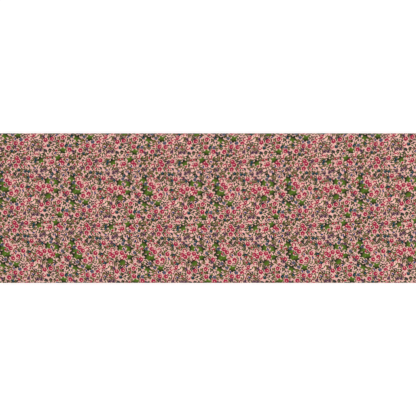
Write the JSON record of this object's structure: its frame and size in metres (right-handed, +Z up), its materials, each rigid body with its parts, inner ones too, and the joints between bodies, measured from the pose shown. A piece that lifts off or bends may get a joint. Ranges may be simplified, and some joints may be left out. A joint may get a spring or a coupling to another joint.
{
  "type": "fabric bolt",
  "caption": "Full-width flat bolt of cotton cloth with a small rose and ivy print, wound round a hollow corrugated board; the last half turn opens onto the table and the end caps pull out.",
  "frame": {"origin": "on the table, under the middle of the bolt", "axes": "+X along the cloth's width from selvage to selvage, +Y from the front edge to the rear edge, +Z up from the face that the bolt lies on"},
  "size_m": [1.4106, 0.48, 0.0387],
  "materials": {
    "printed_cloth": "plain-weave cotton with a small rose, ivy and blossom print on salmon pink",
    "kraft_board": "brown single-wall corrugated board",
    "gummed_tape": "brown gummed paper tape",
    "cap_foam": "off-white moulded bead foam",
    "label_paper": null
  },
  "bodies": {
    "bolt": {"wound_cloth": "printed_cloth", "board_lid": "kraft_board", "board_tray": "kraft_board", "long_rib_1": "kraft_board", "long_rib_2": "kraft_board", "long_rib_3": "kraft_board", "cross_rib_1": "kraft_board", "cross_rib_2": "kraft_board", "cross_rib_3": "kraft_board", "cross_rib_4": "kraft_board", "cross_rib_5": "kraft_board", "front_seam_tape": "gummed_tape", "rear_seam_tape": "gummed_tape", "start_tape": "gummed_tape"},
    "rear_ply": {"rear_ply": "printed_cloth"},
    "free_end": {"free_end": "printed_cloth"},
    "left_cap": {"left_end_cap": "cap_foam", "left_end_label": "label_paper"},
    "right_cap": {"right_end_cap": "cap_foam", "right_end_label": "label_paper"}
  },
  "joints": [
    {"name": "rear_ply_turn", "type": "hinge", "parent": "bolt", "child": "rear_ply", "pos_m": [0, 0.2394, 0.0009], "axis": [-1, 0, 0], "range_deg": [0, 90]},
    {"name": "free_end_turn", "type": "hinge", "parent": "rear_ply", "child": "free_end", "pos_m": [0, 0.2394, 0.0381], "axis": [-1, 0, 0], "range_deg": [0, 90]},
    {"name": "left_cap_slide", "type": "slide", "parent": "bolt", "child": "left_cap", "axis": [-1, 0, 0], "range_m": [0, 0.04]},
    {"name": "right_cap_slide", "type": "slide", "parent": "bolt", "child": "right_cap", "axis": [1, 0, 0], "range_m": [0, 0.04]}
  ],
  "couplings": [
    {"joint": "rear_ply_turn", "follows": "free_end_turn", "ratio": 1}
  ]
}
